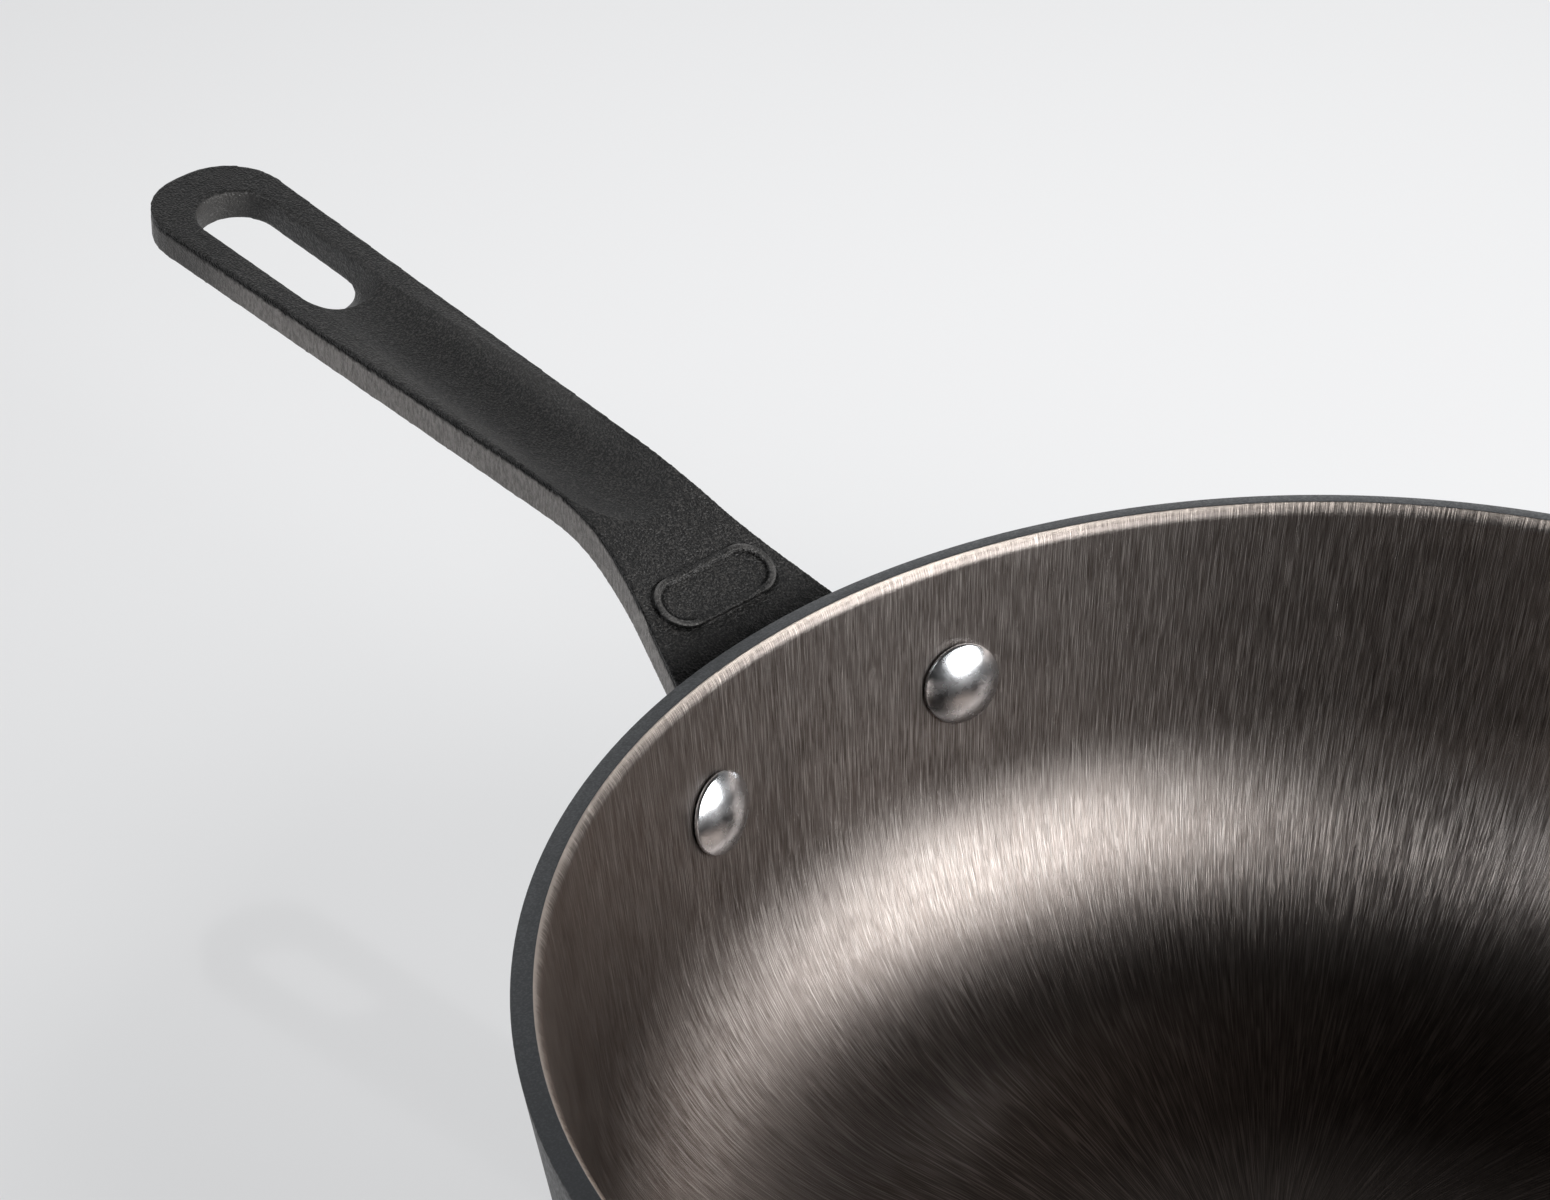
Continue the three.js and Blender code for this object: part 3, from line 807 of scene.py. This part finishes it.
def relaxed_skin(name, node, handle):
    """A fine even skin over a node's solid, with softened edges."""
    mesh = node.data.copy()
    mesh.materials.clear()
    work = bmesh.new()
    work.from_mesh(mesh)
    bmesh.ops.remove_doubles(work, verts=work.verts, dist=MERGE_DISTANCE)
    work.to_mesh(mesh)
    work.free()
    source = bpy.data.objects.new(name + "_source", mesh)
    solid = bpy.data.objects.new(name + "_solid", mesh.copy())
    for item in (source, solid):
        bpy.context.scene.collection.objects.link(item)
    remesh = source.modifiers.new("Skin", "REMESH")
    remesh.mode = "VOXEL"
    remesh.voxel_size = handle.voxel
    remesh.use_smooth_shade = True
    hug = source.modifiers.new("Hug", "SHRINKWRAP")
    hug.target = solid
    hug.wrap_method = "NEAREST_SURFACEPOINT"
    relax = source.modifiers.new("Relax", "SMOOTH")
    relax.factor = RELAX_FACTOR
    relax.iterations = handle.relax_rounds
    thin = source.modifiers.new("Thin", "DECIMATE")
    thin.ratio = handle.keep_share
    piece = bake_object(name, source)
    bpy.data.meshes.remove(solid.data)
    return piece


def uneven(places, size, seed):
    """Smooth random heights from -1 to 1 at places, about a size apart."""
    shift = Vector((seed, 2 * seed, 3 * seed))
    return np.array([mathutils.noise.noise(Vector(p) / size + shift) for p in places])


class Edges:
    """The edges of a mesh, for sums over the neighbours of each vertex."""

    def __init__(self, mesh):
        ends = np.empty(2 * len(mesh.edges), np.int32)
        mesh.edges.foreach_get("vertices", ends)
        self.first, self.second = ends.reshape(-1, 2).T
        self.count = np.bincount(ends, minlength=len(mesh.vertices))

    def gathered(self, to_first, to_second):
        total = np.zeros((len(self.count), *to_first.shape[1:]))
        np.add.at(total, self.first, to_first)
        np.add.at(total, self.second, to_second)
        return total

    def around(self, values):
        return self.gathered(values[self.second], values[self.first])


def curvature(edges, places, normals):
    """Bend of the skin per millimetre, above 0 in hollows and below 0 on edges, evened out a little."""
    step = places[edges.second] - places[edges.first]
    square = (step ** 2).sum(1)
    bend = (edges.gathered(step, -step) * normals).sum(1) / edges.gathered(square, square) * MM
    for _ in range(EVENING_ROUNDS):
        bend = (bend + edges.around(bend)) / (1 + edges.count)
    return bend


def past_yoke(x, start, full):
    """From 0 to 1 between two distances past the yoke's inner end."""
    return smoothstep(x, handle_low.x + start, handle_low.x + full)


def past_rim(x, start, full):
    """From 0 to 1 between two distances past the pan's rim."""
    return smoothstep(x, pan_high.x + start, pan_high.x + full)


def before_tip(x, start, full):
    """From 0 to 1 between two distances before the handle's tip."""
    return smoothstep(x, handle_high.x - start, handle_high.x - full)


def round_slot(mesh, edges, rounds):
    """Rounds the lips of the slot more than the handle's other edges."""
    places = vertex_values(mesh, "co")
    x, y, _ = places.T
    share = before_tip(x, *SLOT_START)
    share *= 1 - before_tip(x, *SLOT_END)
    share *= 1 - smoothstep(np.abs(y), *SLOT_LIP)
    for _ in range(rounds):
        mean = edges.around(places) / edges.count[:, None]
        places += RELAX_FACTOR * share[:, None] * (mean - places)
    set_places(mesh, places)


class HandleSkin:
    """Where each vertex of the handle's skin lies, which way it faces and what marks it bears."""

    def __init__(self, mesh, edges):
        self.places = vertex_values(mesh, "co")
        self.normals = vertex_values(mesh, "normal")
        self.x, y, z = self.places.T
        self.outward = self.normals[:, 1] * np.sign(y)
        self.upward = self.normals[:, 2]
        self.level = smoothstep(self.upward, 0.7, 0.9)
        self.bend = curvature(edges, self.places, self.normals)
        self.wobble = uneven(self.places, BURR_SIZE, 3.7)
        self.measure_across(np.abs(y), z)
        self.within = 1 - smoothstep(self.across, 0.7, 0.82)
        self.by_scoop = past_rim(self.x, *SCOOP_START) * (1 - before_tip(self.x, *SCOOP_END))
        self.at_tip = before_tip(self.x, *TIP_FADE)
        self.clear_of_yoke = past_yoke(self.x, *YOKE_CLEAR)
        # A line of painted shade in the groove under the upper edge, on the outward faces; the groove is also
        # cut into the skin
        from_line = (self.depth - LINE_DEPTH) / LINE_WIDTH
        line = np.minimum(1, 1.5 * np.exp(-from_line ** 2))
        self.groove = line * smoothstep(self.outward, 0.2, 0.5) * self.clear_of_yoke

    def measure_across(self, off_middle, height):
        """Finds the share of the handle's half width, and the ragged depth under its upper edge."""
        bins = ((self.x - handle_low.x) / MM).astype(int)
        reach = np.zeros(bins.max() + 1)
        np.maximum.at(reach, bins, off_middle)
        at_edge = off_middle > 0.8 * reach[bins]
        tops = np.zeros(bins.max() + 1)
        np.maximum.at(tops, bins[at_edge], height[at_edge])
        middles = handle_low.x + (np.arange(len(tops)) + 0.5) * MM
        self.across = off_middle / reach[bins]
        self.depth = np.interp(self.x, middles, tops) - height + RAGGED * self.wobble

    def wear_and_highlight(self):
        """Paler skin: worn raised edges round the neck's panel with a painted highlight on them, and a
        painted highlight on the slot's end wall and the scoop's shoulders.
        """
        by_panel = 1 - 0.85 * past_rim(self.x, *PANEL_END)
        raised = smoothstep(-self.bend, 0.08, 0.35) * smoothstep(self.upward, 0.3, 0.6) * by_panel
        painted_slot_highlight = smoothstep(-self.normals[:, 0], 0.3, 0.8) * before_tip(self.x, *SLOT_WALL)
        beside = smoothstep(self.across, 0.5, 0.8) * (1 - smoothstep(self.across, 0.88, 0.97))
        painted_shoulder_highlight = beside * self.by_scoop * self.level
        return np.maximum.reduce([raised * self.within, 0.4 * painted_slot_highlight * self.within, 0.2 * painted_shoulder_highlight])

    def side(self):
        """Side faces that were ground, fading towards the tip."""
        ground = smoothstep(self.outward, 0.6, 0.9) * smoothstep(self.depth, *SIDE_DEPTH)
        return ground * self.clear_of_yoke * (1 - 0.75 * self.at_tip)

    def painted_shade_and_dark_tip(self):
        """Painted shade in the groove above the sides, by the rim, in hollows and in the scoop's middle, and
        darker towards the tip.
        """
        painted_rim_shade = 0.85 * (1 - past_rim(self.x, *RIM_SHADE_END)) * smoothstep(self.upward, 0.4, 0.8)
        painted_hollow_shade = smoothstep(self.bend, 0.06, 0.25) * self.within
        painted_scoop_shade = 0.2 * (1 - smoothstep(self.across, 0.25, 0.6)) * self.by_scoop * self.level
        darker_tip = 0.22 * self.at_tip * self.level
        return np.maximum.reduce([self.groove, painted_rim_shade, 0.8 * painted_hollow_shade, painted_scoop_shade, darker_tip])

    def burr(self):
        """Upper edges that the grinding left rough."""
        return smoothstep(self.outward, 0.3, 0.6) * smoothstep(self.upward, 0.2, 0.5)


def roughen_handle(mesh, handle):
    """Marks the ground sides, the worn edges with painted highlights and the painted shade, and gives the
    casting its uneven skin and edges.
    """
    edges = Edges(mesh)
    round_slot(mesh, edges, handle.slot_rounds)
    skin = HandleSkin(mesh, edges)
    # Worn edges and painted highlights
    set_attribute(mesh, "wear_and_highlight", skin.wear_and_highlight())
    set_attribute(mesh, "side", skin.side())
    # Painted shade, and a darker tip
    set_attribute(mesh, "painted_shade_and_dark_tip", skin.painted_shade_and_dark_tip())
    lift = handle.cast_wave * uneven(skin.places, WAVE_SIZE, 1.3)
    lift += handle.burr_depth * skin.burr() * skin.wobble
    lift -= handle.crease_depth * skin.groove
    set_places(mesh, skin.places + skin.normals * lift[:, None])


class SkilletPiece:
    """What every operator that makes a piece has in common."""

    bl_options = {"REGISTER", "UNDO"}

    def settle(self, piece, slot, *nodes):
        if not piece.data.polygons:
            raise RuntimeError(piece.name + " came out empty")
        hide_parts(*nodes)
        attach(piece, "root")


class SKILLET_OT_pan(SkilletPiece, bpy.types.Operator):
    """Turn the pan from its section and give it its finishes"""

    bl_idname = "skillet.make_pan"
    bl_label = "Make pan"

    def execute(self, context):
        pan = context.scene.skillet_pan
        rivet = context.scene.skillet_rivets
        outline = outline_mesh("pan_outline", PanShape(pan).section(pan.edge_round))
        values = {
            "Segments": pan.segments, **seat_values(context.scene),
            "Hole Radius": rivet.shank_diameter / 2 + rivet.hole_clearance,
            "Hole Length": 4 * pan.wall_thickness,
            "Material": brushed_inside(pan),
        }
        piece = shape_by_nodes("pan", outline, turned_tree("Skillet pan", pan_tree), values)
        piece.data.materials.append(dark_skin(
            "rim_band", pan.band_colour, speck_gain=1.3,
            grains=2200.0, depth=0.03 * MM, roughness=0.42, metallic=0.6))
        piece.data.materials.append(dark_skin(
            "pan_outside", pan.outside_colour, speck_gain=1.8,
            grains=1300.0, depth=0.1 * MM, roughness=0.5, metallic=0.4))
        mark_pan(piece.data, pan)
        self.settle(piece, "pan_metal", "pan_body")
        return {"FINISHED"}


class SKILLET_OT_handle(SkilletPiece, bpy.types.Operator):
    """Lay a fine cast skin over the handle's solid"""

    bl_idname = "skillet.make_handle"
    bl_label = "Make handle"

    def execute(self, context):
        handle = context.scene.skillet_handle
        piece = relaxed_skin("handle_skin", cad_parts["handle"], handle)
        roughen_handle(piece.data, handle)
        piece.data.materials.append(handle_iron(handle))
        self.settle(piece, "handle_iron", "handle")
        return {"FINISHED"}


class SKILLET_OT_rivets(SkilletPiece, bpy.types.Operator):
    """Set the two rivets through the wall and the yoke"""

    bl_idname = "skillet.make_rivets"
    bl_label = "Make rivets"

    def execute(self, context):
        rivet = context.scene.skillet_rivets
        seat = seat_values(context.scene)
        section = rivet_section(rivet, context.scene.skillet_pan.wall_thickness, seat["Seat Radius"])
        outline = outline_mesh("rivet_outline", section)
        values = {"Segments": rivet.segments, **seat, "Material": polished_steel(rivet)}
        piece = shape_by_nodes("rivets", outline, turned_tree("Skillet rivets", rivets_tree), values)
        self.settle(piece, "rivet_steel", "rivet_left", "rivet_right")
        return {"FINISHED"}


class SKILLET_OT_stage(bpy.types.Operator):
    """Set the floor, the lamps and the camera"""

    bl_idname = "skillet.make_stage"
    bl_label = "Make stage"

    def execute(self, context):
        stage = context.scene.skillet_stage
        floor = make_floor(stage)
        make_lamps(floor)
        make_world(context.scene)
        make_camera(context.scene, stage)
        context.scene.view_settings.view_transform = "Standard"
        return {"FINISHED"}


# Stage

FLOOR_SIDES = 96
FLOOR_GAP = 0.2 * MM
# Middle of the floor's glow and its painted falloff, and the distances from the pan's axis between which a
# painted shadow of the pan dims it
GLOW_MIDDLE = (0.19, -0.19, 0)
PAINTED_PAN_SHADOW = (0.088, 0.138)
LAMP_AIM = Vector((0, 0, 0.06))
BACK_WALL_AZIMUTH = -42
DARK_LEVEL = 0.003


def seen_ray(tree):
    """1 for what the camera sees, straight or in a mirror or glass."""
    path = add(tree, "ShaderNodeLightPath").outputs
    straight = calc(tree, "MAXIMUM", path["Is Camera Ray"], path["Is Glossy Ray"])
    return calc(tree, "MAXIMUM", straight, path["Is Transmission Ray"])


def make_floor(stage):
    mesh = bpy.data.meshes.new("floor")
    work = bmesh.new()
    bmesh.ops.create_circle(work, cap_ends=True, radius=stage.floor_radius, segments=FLOOR_SIDES)
    bmesh.ops.translate(work, verts=work.verts, vec=(0, 0, -FLOOR_GAP))
    work.to_mesh(mesh)
    work.free()
    floor = bpy.data.objects.new("floor", mesh)
    bpy.context.scene.collection.objects.link(floor)
    mesh.materials.append(pale_floor(stage))
    return floor


def pale_floor(stage):
    """A glossy floor that the camera sees lit from below, with a painted falloff far off and a painted shadow
    under and round the pan.
    """
    material, tree, shader = new_material("pale_floor")
    place = object_place(tree)
    from_glow = vector_calc(tree, "DISTANCE", {0: place, 1: GLOW_MIDDLE})["Value"]
    from_axis = vector_calc(tree, "LENGTH", {0: place})["Value"]
    # Painted falloff of the glow away from its middle
    painted_falloff = ramp(tree, from_glow, low=0.05, high=0.6, to_low=stage.glow, to_high=0.64 * stage.glow)
    # Painted shadow of the pan: the glow dims under and round the pan
    clear_of_painted_shadow = ramp(tree, from_axis, *PAINTED_PAN_SHADOW, to_low=0.15, to_high=1.0)
    lift = calc(tree, "MULTIPLY", seen_ray(tree), calc(tree, "MULTIPLY", painted_falloff, clear_of_painted_shadow))
    glow = add(tree, "ShaderNodeEmission", {"Color": (0.985, 0.99, 1, 1), "Strength": lift})
    both = add(tree, "ShaderNodeAddShader", {0: shader.outputs[0], 1: glow.outputs[0]})
    feed_all(tree, shader, {"Base Color": colour_of(tree, stage.floor_colour), "Roughness": 0.08})
    tree.links.new(both.outputs[0], tree.nodes["Material Output"].inputs["Surface"])
    return material


def colour_of(tree, values):
    node = add(tree, "ShaderNodeRGB")
    node.outputs[0].default_value = rgba(values)
    return node.outputs[0]


def direction(azimuth, elevation):
    a, e = math.radians(azimuth), math.radians(elevation)
    return Vector((math.cos(e) * math.cos(a), math.cos(e) * math.sin(a), math.sin(e)))


def area_lamp(name, azimuth, elevation, distance, width, height, radiance, tint, glossy=True):
    """A soft box that faces the pan."""
    lamp = bpy.data.lights.new(name, "AREA")
    lamp.shape = "RECTANGLE"
    lamp.size = width
    lamp.size_y = height
    lamp.energy = radiance * math.pi * width * height
    lamp.color = tint
    lamp_object = bpy.data.objects.new(name, lamp)
    towards = direction(azimuth, elevation)
    lamp_object.location = towards * distance + LAMP_AIM
    lamp_object.rotation_euler = towards.to_track_quat("Z", "Y").to_euler()
    lamp_object.visible_camera = False
    lamp_object.visible_glossy = glossy
    bpy.context.scene.collection.objects.link(lamp_object)
    return lamp_object


def keep_lamp_to(lamp, floor, state):
    """Keeps a lamp to the floor alone (INCLUDE), or to all but the floor (EXCLUDE)."""
    lit = bpy.data.collections.new(lamp.name + "_lit")
    lit.objects.link(floor)
    lit.collection_objects[0].light_linking.link_state = state
    lamp.light_linking.receiver_collection = lit


def make_lamps(floor):
    """Soft boxes that the skillet mirrors and the floor doesn't, and a weak one overhead."""
    boxes = {
        "key": dict(azimuth=199.0, elevation=28.4, distance=1.5, width=1.4, height=0.87,
                    radiance=8.6, tint=(1.0, 0.99, 0.98)),
        "side": dict(azimuth=55, elevation=35, distance=1.6, width=0.9, height=0.9,
                     radiance=4.0, tint=(0.985, 0.99, 1.0)),
    }
    for name, box in boxes.items():
        keep_lamp_to(area_lamp(name, **box), floor, "EXCLUDE")
        keep_lamp_to(area_lamp(name + "_on_floor", **box, glossy=False), floor, "INCLUDE")
    area_lamp("overhead", azimuth=60, elevation=75, distance=2.2, width=3.0, height=3.0,
              radiance=0.3, tint=(0.97, 0.985, 1.0), glossy=False)


def make_world(scene):
    """A dark studio with a pale strip at the horizon and a pale wall beyond the pan."""
    world = bpy.data.worlds.new("studio")
    world.use_nodes = True
    tree = world.node_tree
    way = add(tree, "ShaderNodeTexCoord").outputs["Generated"]
    up = add(tree, "ShaderNodeSeparateXYZ", {0: way}).outputs["Z"]
    to_wall = tuple(direction(BACK_WALL_AZIMUTH, 0))
    beyond = vector_calc(tree, "DOT_PRODUCT", {0: way, 1: to_wall})["Value"]
    strip = ramp(tree, up, low=0.05, high=0.22, to_low=0.45, to_high=0.0)
    off_camera = ramp(tree, beyond, low=-0.75, high=-0.2, to_low=0.1, to_high=1.0)
    wall = ramp(tree, beyond, low=0.5, high=0.75, to_low=0.0, to_high=0.75)
    under_top = ramp(tree, up, low=0.58, high=0.72, to_low=1.0, to_high=0.0)
    lit = calc(
        tree, "MAXIMUM",
        calc(tree, "MULTIPLY", strip, off_camera), calc(tree, "MULTIPLY", wall, under_top))
    feed_all(tree, tree.nodes["Background"], {
        "Color": (0.98, 0.99, 1, 1), "Strength": calc(tree, "ADD", lit, DARK_LEVEL)})
    scene.world = world


def make_camera(scene, stage):
    camera = bpy.data.cameras.new("camera")
    camera.sensor_fit = "HORIZONTAL"
    camera.sensor_width = 36
    camera.lens = stage.camera_lens / MM
    camera.clip_start = 0.01
    pan = scene.skillet_pan
    aim = Vector((pan.rim_radius + stage.aim_past_rim, 0, pan.crest_height - pan.band_rise))
    back = direction(math.degrees(stage.camera_azimuth), math.degrees(stage.camera_elevation))
    turn = back.to_track_quat("Z", "Y").to_matrix() @ Matrix.Rotation(stage.camera_roll, 3, "Z")
    camera_object = bpy.data.objects.new("camera", camera)
    camera_object.location = aim + back * stage.camera_distance
    camera_object.rotation_euler = turn.to_euler()
    scene.collection.objects.link(camera_object)
    scene.camera = camera_object


class SKILLET_PT_panel(bpy.types.Panel):
    """Settings and makers of the skillet"""

    bl_label = "Skillet"
    bl_idname = "SKILLET_PT_panel"
    bl_space_type = "VIEW_3D"
    bl_region_type = "UI"
    bl_category = "Skillet"

    def draw(self, context):
        for settings, maker in MAKERS:
            box = self.layout.box()
            group = getattr(context.scene, settings)
            for name in group.bl_rna.properties.keys():
                if name not in {"rna_type", "name"}:
                    box.prop(group, name)
            box.operator(maker.bl_idname)


SETTINGS = {
    "skillet_pan": SkilletPanSettings,
    "skillet_handle": SkilletHandleSettings,
    "skillet_rivets": SkilletRivetSettings,
    "skillet_stage": SkilletStageSettings,
}
MAKERS = [
    ("skillet_pan", SKILLET_OT_pan),
    ("skillet_handle", SKILLET_OT_handle),
    ("skillet_rivets", SKILLET_OT_rivets),
    ("skillet_stage", SKILLET_OT_stage),
]
CLASSES = [*SETTINGS.values(), *[maker for _, maker in MAKERS], SKILLET_PT_panel]


def register():
    for cls in CLASSES:
        bpy.utils.register_class(cls)
    for name, cls in SETTINGS.items():
        setattr(bpy.types.Scene, name, bpy.props.PointerProperty(type=cls))


def unregister():
    for name in SETTINGS:
        delattr(bpy.types.Scene, name)
    for cls in reversed(CLASSES):
        bpy.utils.unregister_class(cls)


def main():
    register()
    bpy.ops.skillet.make_pan()
    bpy.ops.skillet.make_handle()
    bpy.ops.skillet.make_rivets()
    bpy.ops.skillet.make_stage()


if __name__ == "__main__":
    main()
